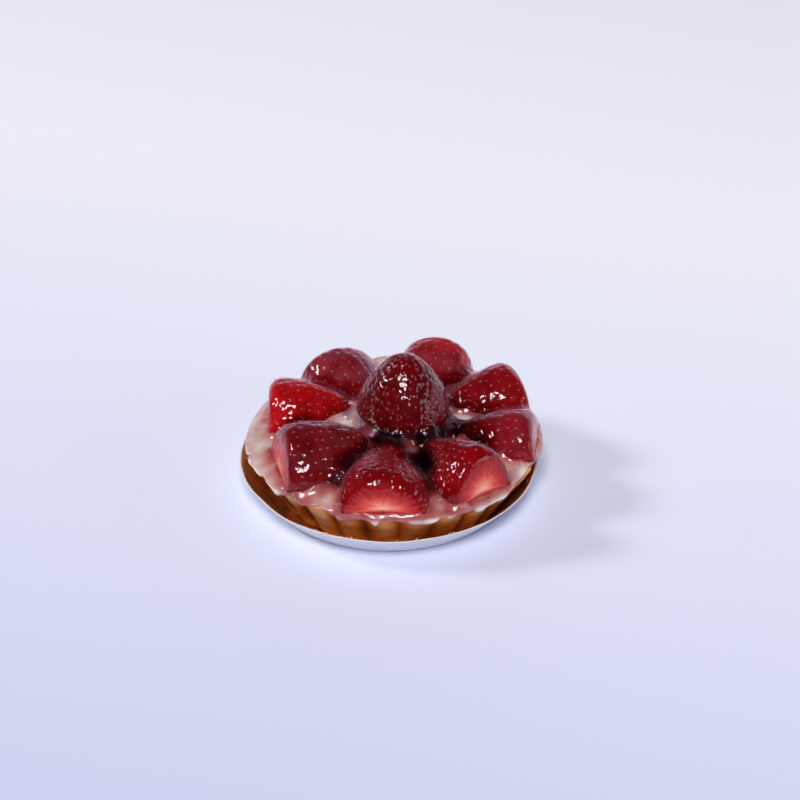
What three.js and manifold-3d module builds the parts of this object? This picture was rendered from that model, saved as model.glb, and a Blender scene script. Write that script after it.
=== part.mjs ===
// A strawberry tart, in millimetres, +Z up. A fluted shortcrust shell is filled with pastry cream and ringed
// by eight halved strawberries, tips inward, with a whole one on top. It sits in its own shallow card dish.
// The origin is the middle of the dish's foot, with -Y at the front and +X at the right.
import * as THREE from 'three';
import { mergeVertices } from 'three/addons/utils/BufferGeometryUtils.js';
import Module from 'manifold-3d';

const { sin, cos, tan, abs, min, max, sqrt, hypot, PI } = Math;
const { lerp, clamp, degToRad } = THREE.MathUtils;

const GAP = 0.3; // clearance between pieces that rest on each other

// Card dish: a flat foot and a wall that flares out to a cut edge.
const DISH_FOOT_RADIUS = 45.9;
const DISH_RIM_RADIUS = 56;
const DISH_HEIGHT = 11.1;
const CARD_THICKNESS = 0.6;
const DISH_SEGMENTS = 96;
const DISH_DENT = { front: -58, width: 9, depth: 0.9 }; // degrees round the rim, and how far it is pushed in
const DISH_WOBBLE = 0.35; // how far the rim strays from a true circle

// Shortcrust shell: convex flutes with sharp valleys between them, flaring from the base to the rim.
const TART_OFFSET = 2; // the tart stands off centre in its dish, to the right
const CRUST_BASE_Z = CARD_THICKNESS + GAP;
const CRUST_BASE_RADIUS = 43.4;
const CRUST_RIM_RADIUS = 54.8;
const CRUST_RIM_Z = 19.8;
const CRUST_WALL = 4.5;
const CRUST_FLOOR = 4;
const FLUTES = 26;
const FLUTE_DEPTH_AT_BASE = 1.4;
const FLUTE_DEPTH_AT_RIM = 2.6;
const FLUTE_VALLEY = 2.2; // degrees from the front to the first valley
const CRUST_UNEVEN = 0.35; // how far baking has moved the rim in or out, and up or down
const CRUST_SLUMP = { front: -116, width: 16, depth: 1.8 }; // the wall has sunk inward at the back left
const TART_SEGMENTS = FLUTES * 6;

// Pastry cream: fills the shell, domes a little towards the middle and runs over the rim in short drips.
const CREAM_EDGE_Z = 21.4;
const CREAM_DOME_SLOPE = degToRad(5);
const CREAM_DOME_RADIUS = 50;
const CREAM_PLATEAU_RADIUS = 14;
const CREAM_SEAT = { radius: 8, foot: 12.5 }; // a mound in the middle, under the whole strawberry
const CREAM_BACK_RISE = 1.3; // the cream stands higher at the back
const BACK_BULGE = { front: 183, width: 9, height: 2.2, from: 36 }; // a swelling between the two back halves
const CREAM_OVERHANG = 1.3;
const CREAM_FILL = 0.35; // share of each valley's depth that the hanging cream fills
const CREAM_SHORTEST_DRIP = 0.6;
const CREAM_UNEVEN = 0.3; // how much its overhang varies
// Longer drips: degrees from the front, half-width in degrees, and how far they hang in millimetres.
const DRIPS = [
  [-160, 4, 2.2], [-139, 5, 1.6], [-117, 4, 1.2], [-96, 4, 1.4], [-80, 3, 2.2], [-73, 3, 2.2], [-64, 3, 1.4],
  [-52, 4, 3.2], [-38, 3, 1.2], [-20, 3, 3], [-7, 3, 2.4], [10, 6, 3], [22, 3, 2.2], [35, 4, 3], [46, 3, 2.4],
  [65, 6, 0.8], [81, 3, 1.8], [93, 4, 2.2], [108, 4, 2.2], [126, 5, 1.8], [147, 4, 1.5], [156, 4, 2.4],
  [176, 5, 1.6],
];

// Strawberries: rows of points in a triangular lattice, of which every third is a seed pit.
const BERRY_COLUMNS = 33;
const BERRY_ROWS = 20;
const PIT_DEPTH = 0.45;
const LUMPS = 0.025; // how far a berry strays from round, as a share of its radius
const STALK_CUT = 0.16; // share of a half's whole length that is cut off with its stalk
const WHOLE_STALK_CUT = 0.25;

// Halves, named by where their cut end stands. bearing and reach place the middle of that end from the
// tart's middle, in degrees from +X and millimetres. turn swings the tip off the line to the middle, lift
// raises it, and lean tips the cut end back from upright.
const half = (bearing, reach, turn, length, width, height, lift, lean, taper) => (
  { bearing, reach, turn, length, width, height, lift, lean, taper });
const HALVES = {
  half_front: half(265.8, 53.8, 3, 40, 32.5, 12.8, 6, 9, 0.47),
  half_front_right: half(307.5, 53, 0, 35, 27, 15.5, 7, 9, 0.5),
  half_right: half(351.5, 53.4, 1, 30.4, 28.5, 11.5, 8, 10, 0.56),
  half_right_back: half(27.5, 53, -8, 31, 30, 13, 5, 0, 0.58),
  half_back: half(69.5, 52, 3, 32.6, 27.5, 13.3, 6, 0, 0.52),
  half_back_left: half(120.3, 47.4, -2, 28.4, 31.8, 12.3, 6, 0, 0.39),
  half_left: half(167.6, 48.2, 13.2, 31.4, 27.4, 13.8, 8.5, 0, 0.43),
  half_front_left: half(212.6, 49.8, -17.6, 34.8, 33.6, 14.4, 14, 9, 0.36),
};
const WHOLE = { x: 5.6, y: 1.5, z: 29.6, length: 24.3, width: 35.2, taper: 0.42 };
const BLUNTNESS = 0.94; // under 1 rounds a berry's tip

const wasm = await Module();
wasm.setup();

// A geometry reduced to its shared corners, and the same as a solid for joins and cuts.
function welded(geometry) {
  const bare = geometry.clone();
  bare.deleteAttribute('normal');
  bare.deleteAttribute('uv');
  return mergeVertices(bare, 1e-4);
}

function solidOf(geometry) {
  const { attributes, index } = welded(geometry);
  const triVerts = new Uint32Array(index.array);
  const vertProperties = attributes.position.array;
  return new wasm.Manifold(new wasm.Mesh({ numProp: 3, vertProperties, triVerts }));
}

function geometryOf(solid) {
  const mesh = solid.getMesh();
  return new THREE.BufferGeometry()
    .setAttribute('position', new THREE.BufferAttribute(new Float32Array(mesh.vertProperties), 3))
    .setIndex(new THREE.BufferAttribute(new Uint32Array(mesh.triVerts), 1));
}

// A profile of [radius, height] pairs turned about +Z. shape(row, front, radius, height) gives each corner
// its own pair; front is the angle from the front, growing to the right.
function turned(profile, segments, shape) {
  const points = profile.map(([radius, height]) => new THREE.Vector2(radius, height));
  const geometry = new THREE.LatheGeometry(points, segments);
  const position = geometry.attributes.position;
  for (let i = 0; i < position.count; i++) {
    const row = i % points.length;
    const front = (Math.floor(i / points.length) % segments) * 2 * PI / segments;
    const [radius, height] = shape(row, front, points[row].x, points[row].y);
    position.setXYZ(i, radius * sin(front), -radius * cos(front), height);
  }
  return geometry;
}

// A low, uneven wave round a turned piece, within -1 and 1, that closes on itself.
function wave(front, count, shift) {
  return 0.55 * sin(count * front + shift) + 0.45 * sin((2 * count + 1) * front + 2.3 * shift);
}

// The angle between two directions in degrees, from 0 to 180.
function apart(a, b) {
  const turn = abs(a - b) % 360;
  return min(turn, 360 - turn);
}

const bell = (distance, width) => Math.exp(-((distance / width) ** 2));
const degreesOf = (front) => front * 180 / PI;

function dish() {
  const slope = (DISH_RIM_RADIUS - DISH_FOOT_RADIUS) / DISH_HEIGHT;
  const across = CARD_THICKNESS * sqrt(1 + slope * slope); // the card's thickness measured level
  const profile = [
    [0, 0],
    [DISH_FOOT_RADIUS, 0],
    [DISH_RIM_RADIUS, DISH_HEIGHT],
    [DISH_RIM_RADIUS - across, DISH_HEIGHT],
    [DISH_FOOT_RADIUS - across + slope * CARD_THICKNESS, CARD_THICKNESS],
    [0, CARD_THICKNESS],
  ];
  return turned(profile, DISH_SEGMENTS, (row, front, radius, height) => {
    const dent = DISH_DENT.depth * bell(apart(degreesOf(front), DISH_DENT.front), DISH_DENT.width);
    const stray = DISH_WOBBLE * wave(front, 3, 0.8) - dent;
    const wobble = stray * (radius / DISH_RIM_RADIUS) * (height / DISH_HEIGHT);
    return [radius + wobble, height];
  });
}

// How far a height lies up the crust's wall, 0 at the base and 1 at the rim.
const upTheWall = (height) => (height - CRUST_BASE_Z) / (CRUST_RIM_Z - CRUST_BASE_Z);

// How deep a flute has sunk below its crest.
function fluteDepth(front, height) {
  const crest = abs(sin(FLUTES * (front - degToRad(FLUTE_VALLEY)) / 2)) ** 0.8;
  return lerp(FLUTE_DEPTH_AT_BASE, FLUTE_DEPTH_AT_RIM, upTheWall(height)) * (1 - crest);
}

// The crust's outer radius, and the height of its rim; baking has left both uneven.
function crustRadius(front, height) {
  const up = upTheWall(height);
  const slump = CRUST_SLUMP.depth * bell(apart(degreesOf(front), CRUST_SLUMP.front), CRUST_SLUMP.width);
  const uneven = (CRUST_UNEVEN * wave(front, 5, 1.7) - slump) * up;
  return lerp(CRUST_BASE_RADIUS, CRUST_RIM_RADIUS, up) - fluteDepth(front, height) + uneven;
}

const crustRimZ = (front) => CRUST_RIM_Z + CRUST_UNEVEN * wave(front, 7, 0.4);

const cavityRadius = (height) => lerp(CRUST_BASE_RADIUS, CRUST_RIM_RADIUS, upTheWall(height))
  - FLUTE_DEPTH_AT_RIM - CRUST_WALL + 1;

const CAVITY_FLOOR_Z = CRUST_BASE_Z + CRUST_FLOOR;

function crust() {
  const low = lerp(CRUST_BASE_Z, CRUST_RIM_Z, 0.06);
  const middle = lerp(CRUST_BASE_Z, CRUST_RIM_Z, 0.5);
  const rows = [
    [0, CRUST_BASE_Z],
    [CRUST_BASE_RADIUS - 1, CRUST_BASE_Z],
    [CRUST_BASE_RADIUS, low],
    [CRUST_BASE_RADIUS, middle],
    [CRUST_RIM_RADIUS, CRUST_RIM_Z],
    [cavityRadius(CRUST_RIM_Z), CRUST_RIM_Z],
    [cavityRadius(CAVITY_FLOOR_Z), CAVITY_FLOOR_Z],
    [0, CAVITY_FLOOR_Z],
  ];
  return turned(rows, TART_SEGMENTS, (row, front, radius, height) => {
    if (row === 1) return [crustRadius(front, height) - 1, height];
    if (row === 2 || row === 3) return [crustRadius(front, height), height];
    if (row === 4) return [crustRadius(front, crustRimZ(front)), crustRimZ(front)];
    if (row === 5) return [radius, crustRimZ(front)];
    return [radius, height];
  });
}

// The cream's top: a mound in the middle and a dome round it, higher at the back. x and y are from the
// tart's middle.
function creamTop(x, y) {
  const radius = hypot(x, y);
  const inward = CREAM_DOME_RADIUS - clamp(radius, CREAM_PLATEAU_RADIUS, CREAM_DOME_RADIUS);
  const rise = CREAM_BACK_RISE * clamp(y / CREAM_DOME_RADIUS, 0, 1);
  const off = apart(degreesOf(Math.atan2(x, -y)), BACK_BULGE.front);
  const out = clamp((radius - BACK_BULGE.from) / (CREAM_DOME_RADIUS - BACK_BULGE.from), 0, 1);
  const dome = CREAM_EDGE_Z + inward * tan(CREAM_DOME_SLOPE) + rise;
  const seat = clamp((CREAM_SEAT.foot - radius) / (CREAM_SEAT.foot - CREAM_SEAT.radius), 0, 1);
  return lerp(dome + BACK_BULGE.height * bell(off, BACK_BULGE.width) * out, WHOLE.z - GAP, seat);
}

// How far the cream hangs below the rim at an angle from the front.
function dripLength(front) {
  const here = degreesOf(front);
  const hang = DRIPS.map(([where, width, length]) => length * bell(apart(here, where), width));
  return CREAM_SHORTEST_DRIP + max(...hang);
}

function cream() {
  const floorZ = CAVITY_FLOOR_Z + GAP;
  const topRow = (share) => lerp(CREAM_DOME_RADIUS + 1.5, CREAM_PLATEAU_RADIUS, share);
  const inner = (height) => cavityRadius(height) - GAP * 1.2;
  // The rows that hang over the rim are placed by shape below, so their radii here only keep them in order.
  const rows = [
    [0, floorZ],
    [inner(floorZ), floorZ],
    [inner(CRUST_RIM_Z), CRUST_RIM_Z],
    [CRUST_RIM_RADIUS, CRUST_RIM_Z],
    [CRUST_RIM_RADIUS, CRUST_RIM_Z - 1],
    [CRUST_RIM_RADIUS + 1, CRUST_RIM_Z - 1],
    [CRUST_RIM_RADIUS + 1, CRUST_RIM_Z],
    [CRUST_RIM_RADIUS, CREAM_EDGE_Z - 0.4],
    [topRow(0), CREAM_EDGE_Z],
    [topRow(0.35), CREAM_EDGE_Z],
    [topRow(1), CREAM_EDGE_Z],
    [CREAM_SEAT.foot, CREAM_EDGE_Z],
    [CREAM_SEAT.radius, CREAM_EDGE_Z],
    [0, CREAM_EDGE_Z],
  ];
  return turned(rows, TART_SEGMENTS, (row, front, radius, height) => {
    const rimZ = crustRimZ(front);
    const footZ = rimZ - dripLength(front);
    const wall = (z) => crustRadius(front, z) + GAP * 1.3;
    const skin = (z) => wall(z) + CREAM_FILL * fluteDepth(front, z);
    const out = CREAM_OVERHANG + CREAM_UNEVEN * wave(front, 9, 0.6);
    if (row === 2) return [radius, rimZ + GAP];
    if (row === 3) return [wall(rimZ), rimZ + GAP];
    if (row === 4) return [wall(footZ), footZ];
    if (row === 5) return [skin(footZ) + 0.7 * out, footZ + 0.3];
    if (row === 6) return [skin(rimZ - 0.6) + out, rimZ - 0.6];
    if (row === 7) return [skin(rimZ) + 0.3 * out, rimZ + 1.1];
    if (row < 8) return [radius, height];
    return [radius, creamTop(radius * sin(front), -radius * cos(front))];
  });
}

// A whole strawberry lying along +X, its stalk's cut at x = 0 and its tip at x = length. seed sets its lumps.
function berrySkin({ length, width, taper }, height, cut, seed) {
  const start = 1 - 2 * cut; // the cosine where the stalk is cut off
  const bulge = (turn) => sin(turn) ** BLUNTNESS * (1 + taper * cos(turn));
  const widest = (sqrt(1 + 8 * taper * taper) - 1) / (4 * taper);
  const scale = 1 / bulge(Math.acos(widest));
  const at = (turn, around, push) => {
    const lumps = 1 + LUMPS * sin(turn) * (sin(2 * around + seed) + sin(3 * around + 2 * turn + 2 * seed));
    const radius = bulge(turn) * scale * lumps;
    const x = length * (start - cos(turn)) / (1 + start);
    return new THREE.Vector3(
      x + push * cos(turn),
      cos(around) * (radius * width / 2 - push * sin(turn)),
      sin(around) * (radius * height - push * sin(turn)),
    );
  };
  const corners = [at(0, 0, 0)];
  for (let row = 1; row < BERRY_ROWS; row++) {
    const turn = PI * row / BERRY_ROWS;
    for (let column = 0; column < BERRY_COLUMNS; column++) {
      const around = 2 * PI * (column + row / 2) / BERRY_COLUMNS;
      const pit = (column - row + 3 * BERRY_ROWS) % 3 === 0 ? PIT_DEPTH * min(1, 2 * sin(turn) ** 2) : 0;
      corners.push(at(turn, around, pit));
    }
  }
  corners.push(at(PI, 0, 0));
  const corner = (row, column) => 1 + (row - 1) * BERRY_COLUMNS + column % BERRY_COLUMNS;
  const faces = [];
  for (let column = 0; column < BERRY_COLUMNS; column++) {
    faces.push(0, corner(1, column + 1), corner(1, column));
    for (let row = 1; row < BERRY_ROWS - 1; row++) {
      faces.push(corner(row, column), corner(row, column + 1), corner(row + 1, column));
      faces.push(corner(row + 1, column), corner(row, column + 1), corner(row + 1, column + 1));
    }
    faces.push(corners.length - 1, corner(BERRY_ROWS - 1, column), corner(BERRY_ROWS - 1, column + 1));
  }
  return new THREE.BufferGeometry().setFromPoints(corners).setIndex(faces);
}

// The part of a strawberry that a knife leaves beyond x = 0, where the cut leans back by a few degrees.
function withoutStalk(skin, lean) {
  const block = new THREE.BoxGeometry(200, 200, 200).translate(100, 0, 0).rotateY(degToRad(lean));
  return solidOf(skin).intersect(solidOf(block));
}

// The upper half of a strawberry that lies along +X.
function upperHalf(solid) {
  return solid.intersect(solidOf(new THREE.BoxGeometry(200, 200, 100).translate(0, 0, 50)));
}

// The lowest height at which a half clears the cream all over its cut face.
function seatOf({ bearing, reach, turn, length, width, lift }) {
  const place = degToRad(bearing);
  const inward = degToRad(bearing + 180 + turn);
  let seat = 0;
  for (let along = 0; along <= length; along += length / 8) {
    for (const side of [-1, -0.5, 0, 0.5, 1]) {
      const across = side * 0.45 * width * (1 - along / length / 2);
      const x = reach * cos(place) + along * cos(inward) - across * sin(inward);
      const y = reach * sin(place) + along * sin(inward) + across * cos(inward);
      seat = max(seat, creamTop(x, y) - along * tan(degToRad(lift)));
    }
  }
  return seat + GAP;
}

const skinMaterial = (color) => new THREE.MeshStandardMaterial({ color, roughness: 0.15, metalness: 0 });

function halfStrawberry([name, size], index) {
  const skin = berrySkin(size, size.height, STALK_CUT, 1 + 1.7 * index);
  const solid = upperHalf(withoutStalk(skin, size.lift + size.lean));
  const mesh = new THREE.Mesh(geometryOf(solid), skinMaterial(0xa80f1e));
  mesh.name = name;
  const place = degToRad(size.bearing);
  mesh.position.set(size.reach * cos(place), size.reach * sin(place), seatOf(size));
  mesh.rotation.set(0, -degToRad(size.lift), degToRad(size.bearing + 180 + size.turn), 'ZYX');
  return mesh;
}

function wholeStrawberry() {
  const skin = berrySkin(WHOLE, WHOLE.width / 2, WHOLE_STALK_CUT, 0.4);
  const mesh = new THREE.Mesh(geometryOf(withoutStalk(skin, 0)), skinMaterial(0x8c0b16));
  mesh.name = 'whole_strawberry';
  mesh.position.set(WHOLE.x - TART_OFFSET, WHOLE.y, WHOLE.z);
  mesh.rotation.y = -PI / 2; // its tip points up
  return mesh;
}

function piece(name, geometry, color, roughness, metalness) {
  const mesh = new THREE.Mesh(geometry, new THREE.MeshStandardMaterial({ color, roughness, metalness }));
  mesh.name = name;
  return mesh;
}

const tart = new THREE.Group();
tart.position.x = TART_OFFSET;
tart.add(piece('crust', crust(), 0xb87a45, 0.75, 0));
tart.add(piece('cream', cream(), 0xe8cdb8, 0.35, 0));
Object.entries(HALVES).forEach((entry, index) => tart.add(halfStrawberry(entry, index)));
tart.add(wholeStrawberry());

const part = new THREE.Group();
part.add(piece('dish', dish(), 0xb07a3c, 0.3, 1));
part.add(tart);

export default part;
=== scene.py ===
import math

import bpy
import numpy as np
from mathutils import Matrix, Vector, kdtree, noise


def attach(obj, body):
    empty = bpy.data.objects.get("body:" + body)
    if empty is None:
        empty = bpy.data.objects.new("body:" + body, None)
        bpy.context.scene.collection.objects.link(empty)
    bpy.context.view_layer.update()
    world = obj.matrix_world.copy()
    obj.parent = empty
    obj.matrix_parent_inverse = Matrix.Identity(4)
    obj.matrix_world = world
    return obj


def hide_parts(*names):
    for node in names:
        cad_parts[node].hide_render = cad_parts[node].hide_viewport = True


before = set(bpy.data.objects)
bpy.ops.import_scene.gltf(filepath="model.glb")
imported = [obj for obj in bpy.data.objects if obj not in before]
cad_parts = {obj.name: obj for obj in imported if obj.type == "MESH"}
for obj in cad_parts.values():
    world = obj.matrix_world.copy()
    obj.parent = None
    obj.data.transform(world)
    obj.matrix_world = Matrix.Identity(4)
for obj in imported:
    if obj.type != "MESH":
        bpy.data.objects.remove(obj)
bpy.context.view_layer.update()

# ---------------- sizes, in millimetres
# Here front is an angle from the front in degrees, positive towards the right; functions take it in radians.
MM = 0.001
GAP = 0.3

DISH_FOOT_RADIUS = 45.9
DISH_RIM_RADIUS = 56.0
DISH_HEIGHT = 11.1
CARD_THICKNESS = 0.6
DISH_SLOPE = (DISH_RIM_RADIUS - DISH_FOOT_RADIUS) / DISH_HEIGHT
CARD_ACROSS = CARD_THICKNESS * math.hypot(1, DISH_SLOPE)    # the leaning wall's card, measured level
DISH_DENT = dict(front=-58, width=9, depth=0.9)
DISH_WOBBLE = 0.35

TART_OFFSET = 2.0     # the tart lies this far to the right of the dish's middle
CRUST_BASE_Z = CARD_THICKNESS + GAP
CRUST_BASE_RADIUS = 43.4
CRUST_RIM_RADIUS = 54.8
CRUST_RIM_Z = 19.8
CRUST_WALL = 4.5
CRUST_FLOOR = 4.0
FLUTES = 26
FLUTE_DEPTH_AT_BASE = 1.4
FLUTE_DEPTH_AT_RIM = 2.6
FLUTE_VALLEY = 2.2    # the first valley's angle from the front, in degrees
CRUST_UNEVEN = 0.35
CRUST_SLUMP = dict(front=-116, width=16, depth=1.8)

CREAM_EDGE_Z = 21.4
CREAM_DOME_SLOPE = math.radians(5)
CREAM_DOME_RADIUS = 50.0
CREAM_PLATEAU_RADIUS = 14.0
CREAM_SEAT = dict(radius=8, foot=12.5)    # the level place under the whole berry, and where its slope ends
CREAM_BACK_RISE = 1.3
BACK_BULGE = dict(front=183, width=9, height=2.2, start=36)
CREAM_FILL = 0.9      # the share of a flute's depth that the hanging cream fills

# The cream's edge all round: degrees from the front, and how far it hangs below the rim. Below 0 it stops short
# of the rim by that much and the crust shows.
CREAM_EDGE = [
    (-176, 0.6), (-168, 0.2), (-160, 2.6), (-150, 0.3), (-139, 1.9), (-128, -0.6), (-117, 1.2), (-106, 0.3),
    (-96, 1.5), (-88, 0.9), (-80, 2.2), (-77, -0.9), (-73, 2.3), (-69, 0.5), (-64, 1.7), (-60.5, -0.9), (-56, 0.6),
    (-52, 3.6), (-46, 1.0), (-42, -0.4), (-38, 1.5), (-34, 0.2), (-30, -1.6), (-26, -0.6), (-23, 0.6),
    (-20.5, 3.2), (-16.5, 1.5), (-13.5, 0.3), (-10, 0.5), (-7, 2.7), (-3.6, 0.1), (0, 0.1), (4, 1.0), (8, 2.9),
    (12, 3.3), (15.5, 2.8), (18, 0.5), (21.5, 2.5), (26, 1.4), (31, 1.4), (35, 3.9), (38.5, 2.2), (43, 2.2),
    (46.5, 3.0), (50, -0.4), (54, -1.9), (60, -2.2), (66, -1.9), (71, -0.8), (75, 0.4), (81, 2.2), (87, 0.8), (93, 2.6),
    (100, 0.8), (108, 2.4), (117, 0.2), (126, 2.0), (136, -0.8), (147, 1.6), (156, 2.8), (166, 0.3), (176, 1.8),
]

# Where berry juice has run over the rim: degrees from the front, width in degrees, strength; below 0, where the
# cream is barer than elsewhere.
JUICE_RUNS = [(-18, 6, 0.42), (24, 6, 0.34), (3, 8, 0.08), (-38, 8, 0.18), (-57, 8, 0.06), (59, 7, -0.24)]

# A patch between the whole berry and the two in front of it, where the cream and the gel over it are left without their
# painted shade.
UNSHADED_CREAM = dict(x=7.6, y=-14.0, width=3.4, depth=8.0)

LUMPS = 0.025         # how uneven a berry is, as a share of its thickness


# Of a berry, cut is the share of its length that the stalk's cut takes off, pointed shapes its ends (1 is the most
# pointed), seeds is one seed's length, width and height, and growth varies its lumps.
def half(bearing, reach, turn, length, width, height, lift, lean, taper):
    """A half strawberry. Its cut end stands at a bearing, reach from the tart's middle, and its tip points inwards
    but for turn and rises by lift. Its cut face leans back by lean. Angles are given in degrees."""
    place = math.radians(bearing)
    return dict(x=reach * math.cos(place), y=reach * math.sin(place), heading=math.radians(bearing + 180 + turn),
                lift=math.radians(lift), tilt=math.radians(lift + lean), length=length, width=width, height=height,
                taper=taper, cut=0.16, pointed=0.94, seeds=(1.05, 0.64, 0.45))


HALVES = {
    "half_front": half(265.8, 53.8, 3, 40, 32.5, 12.8, 6, 9, 0.47),
    "half_front_right": half(307.5, 53, 0, 35, 27, 15.5, 7, 9, 0.5),
    "half_right": half(351.5, 53.4, 1, 30.4, 28.5, 11.5, 8, 10, 0.56),
    "half_right_back": half(27.5, 53, -8, 31, 30, 13, 5, 0, 0.58),
    "half_back": half(69.5, 52, 3, 32.6, 27.5, 13.3, 6, 0, 0.52),
    "half_back_left": half(120.3, 47.4, -2, 28.4, 31.8, 12.3, 6, 0, 0.39),
    "half_left": half(167.6, 48.2, 13.2, 31.4, 27.4, 13.8, 8.5, 0, 0.43),
    "half_front_left": half(212.6, 49.8, -17.6, 34.8, 33.6, 14.4, 14, 9, 0.36),
}
for number, size in enumerate(HALVES.values()):
    size.update(number=number, growth=1 + 1.7 * number)

WHOLE = dict(x=5.6, y=1.5, z=29.6, tilt=0.0, length=24.3, width=35.2, height=17.6, taper=0.42, cut=0.25,
             pointed=0.66, seeds=(1.1, 0.66, 0.45), number=0, growth=0.4)
WHOLE_REACH = 15.5    # the whole berry's radius where the cream meets it

# How ripe each berry's skin is, from 0 for scarlet to 1 for deep crimson, and how pale its shoulder is, 0 to 1; below 0
# the shoulder is darker than the tip, which on the standing whole berry is painted shade at its foot. Then the glaze
# over
# it: how speckled it is where it is thin, 0 to 1, how deep it sags over the seeds beside the others', and how much pale
# painted sheen it bears where it is seen face on.
SKINS = {
    "half_front": (0.6, 0.1, 0.4, 1.2, 0.0), "half_front_right": (0.6, 0.3, 0.15, 1.0, 0.0),
    "half_right": (0.5, 0.1, 0.05, 1.0, 0.04), "half_right_back": (0.55, 0.25, 0.05, 1.0, 0.01),
    "half_back": (0.4, 0.6, 0.05, 1.0, 0.07), "half_back_left": (0.6, 0.3, 0.05, 1.0, 0.09),
    "half_left": (0.05, 0.15, 0.05, 1.0, 0.01), "half_front_left": (0.85, 0.1, 0.05, 1.0, 0.03),
    "whole_strawberry": (0.95, -0.4, 0.3, 1.0, 0.0),
}

GLAZE_FILM = 0.04     # how far the glaze stands outside the berries' own outline
GLAZE_SUNK = 0.45     # the skins lie this far inside that outline
GLAZE_FILLET = 3.6    # radius of the glaze's hollow where two pieces meet
GLAZE_DIMPLE = 0.28   # the glaze sags this much over a seed's pit
GLAZE_MESH = 0.65     # between the points of the glaze's mesh
GLAZE_FOOT_Z = 16.0   # its hidden underside, inside the cream
GEL_SHADE_TOP_Z = 34        # up to here the gel between the berries is stained dark as painted shade
GEL_SHADE_REACH = 42        # and this far out from the tart's middle; the painted shade on the cream reaches a little further
CREAM_SHADE_REACH = 47
SEED_PITCH = 4.0      # between seeds on a half; the whole one, a small berry, has them closer
PIT_RADIUS = 1.1
PIT_DEPTH = 0.36
CUT_ROUNDING = 4.4    # how far back along the skin the cut face's edge is rounded
HEART_HEIGHT = 0.16   # a half's pale heart, as a share of its height

FRONT_CRUMBS = 16
STRAY_CRUMBS = 26
FLOOR_REACH = 3000.0
RANDOM_SEED = 11


# ---------------- camera, first of all
camera_data = bpy.data.cameras.new("view")
camera_data.lens = 100
camera_data.sensor_width = 36
camera_data.clip_start = 0.05
camera = bpy.data.objects.new("view", camera_data)
camera.location = (0.0041948, -0.6996495, 0.4666859)
camera.rotation_euler = (math.radians(58.38), 0, 0)
bpy.context.scene.collection.objects.link(camera)
bpy.context.scene.camera = camera


# ---------------- small helpers
def linear(colour):
    """An sRGB hex colour as the linear one that shaders take."""
    channels = [int(colour[i:i + 2], 16) / 255 for i in (1, 3, 5)]
    return [c / 12.92 if c <= 0.04045 else ((c + 0.055) / 1.055) ** 2.4 for c in channels] + [1.0]


def add(tree, kind, inputs=None, links=None, stops=(), **settings):
    """Adds a node with its settings, its input values and what feeds it, which is a node, for its first output, or
    an output. stops are a colour ramp's positions and hex colours."""
    made = tree.nodes.new("ShaderNode" + kind)
    for name, value in settings.items():
        setattr(made, name, value)
    for number, (position, colour) in enumerate(stops):
        elements = made.color_ramp.elements
        element = elements[number] if number < 2 else elements.new(1.0)
        element.position = position
        element.color = linear(colour)
    for name, value in (inputs or {}).items():
        made.inputs[name].default_value = value
    for name, source in (links or {}).items():
        output = source.outputs[0] if isinstance(source, bpy.types.Node) else source
        tree.links.new(output, made.inputs[name])
    return made


def varied(tree, level, pattern, swing, offset):
    """A level moved up and down by a pattern."""
    moved = add(tree, "Math", {1: swing, 2: offset}, {0: pattern}, operation="MULTIPLY_ADD")
    return add(tree, "Math", links={0: level, 1: moved}, operation="ADD")


def finish(name, surface):
    """A material from a function that adds its nodes, given the place on the piece, and returns the last shader."""
    material = bpy.data.materials.new(name)
    material.use_nodes = True
    tree = material.node_tree
    tree.nodes.clear()
    place = add(tree, "TexCoord").outputs["Object"]
    add(tree, "OutputMaterial", links={"Surface": surface(tree, place)})
    return material


def clamp(value, low, high):
    return np.minimum(np.maximum(value, low), high)


def lerp(a, b, share):
    return a + (b - a) * share


def smooth(value, low, high):
    share = clamp((value - low) / (high - low), 0, 1)
    return share * share * (3 - 2 * share)


def wave(front, count, shift):
    return 0.55 * np.sin(count * front + shift) + 0.45 * np.sin((2 * count + 1) * front + 2.3 * shift)


def bell(distance, width):
    return np.exp(-((distance / width) ** 2))


def bump_at(front, place):
    """1 at the angle of a dent, slump or bulge and 0 well away from it."""
    turn = np.abs(np.degrees(front) - place["front"]) % 360
    return bell(np.minimum(turn, 360 - turn), place["width"])


def all_round(columns):
    return np.arange(columns) * 2 * math.pi / columns


def lumpy(points, size, seed=0.0, octaves=3):
    """Cloudy noise from -1 to 1 at some points in millimetres; size is the biggest lump's."""
    offset = Vector((seed, 1.7 * seed, -0.6 * seed))
    flat = np.asarray(points, float).reshape(-1, 3) / size
    values = [noise.fractal(Vector(p) + offset, 1.0, 2.0, octaves, noise_basis="PERLIN_ORIGINAL") for p in flat]
    return np.array(values).reshape(np.shape(points)[:-1])


def give(mesh, name, values):
    """Gives each point of a mesh a number, or three, for the shaders to read."""
    values = np.asarray(values, np.float32)
    kind, key = ("FLOAT_VECTOR", "vector") if values.ndim == 2 else ("FLOAT", "value")
    mesh.attributes.new(name, kind, "POINT").data.foreach_set(key, values.ravel())


def make_piece(name, points, faces, materials, face_material=None, **readings):
    """A piece from points in millimetres, with smooth shading and numbers at its points for the shaders."""
    mesh = bpy.data.meshes.new(name)
    mesh.from_pydata((np.asarray(points) * MM).tolist(), [], [tuple(f) for f in faces])
    for material in materials:
        mesh.materials.append(material)
    if face_material is not None:
        mesh.polygons.foreach_set("material_index", np.asarray(face_material, np.int32))
    mesh.shade_smooth()
    for key, values in readings.items():
        give(mesh, key, values)
    mesh.validate()
    mesh.update()
    piece = bpy.data.objects.new(name, mesh)
    bpy.context.scene.collection.objects.link(piece)
    return piece


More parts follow.
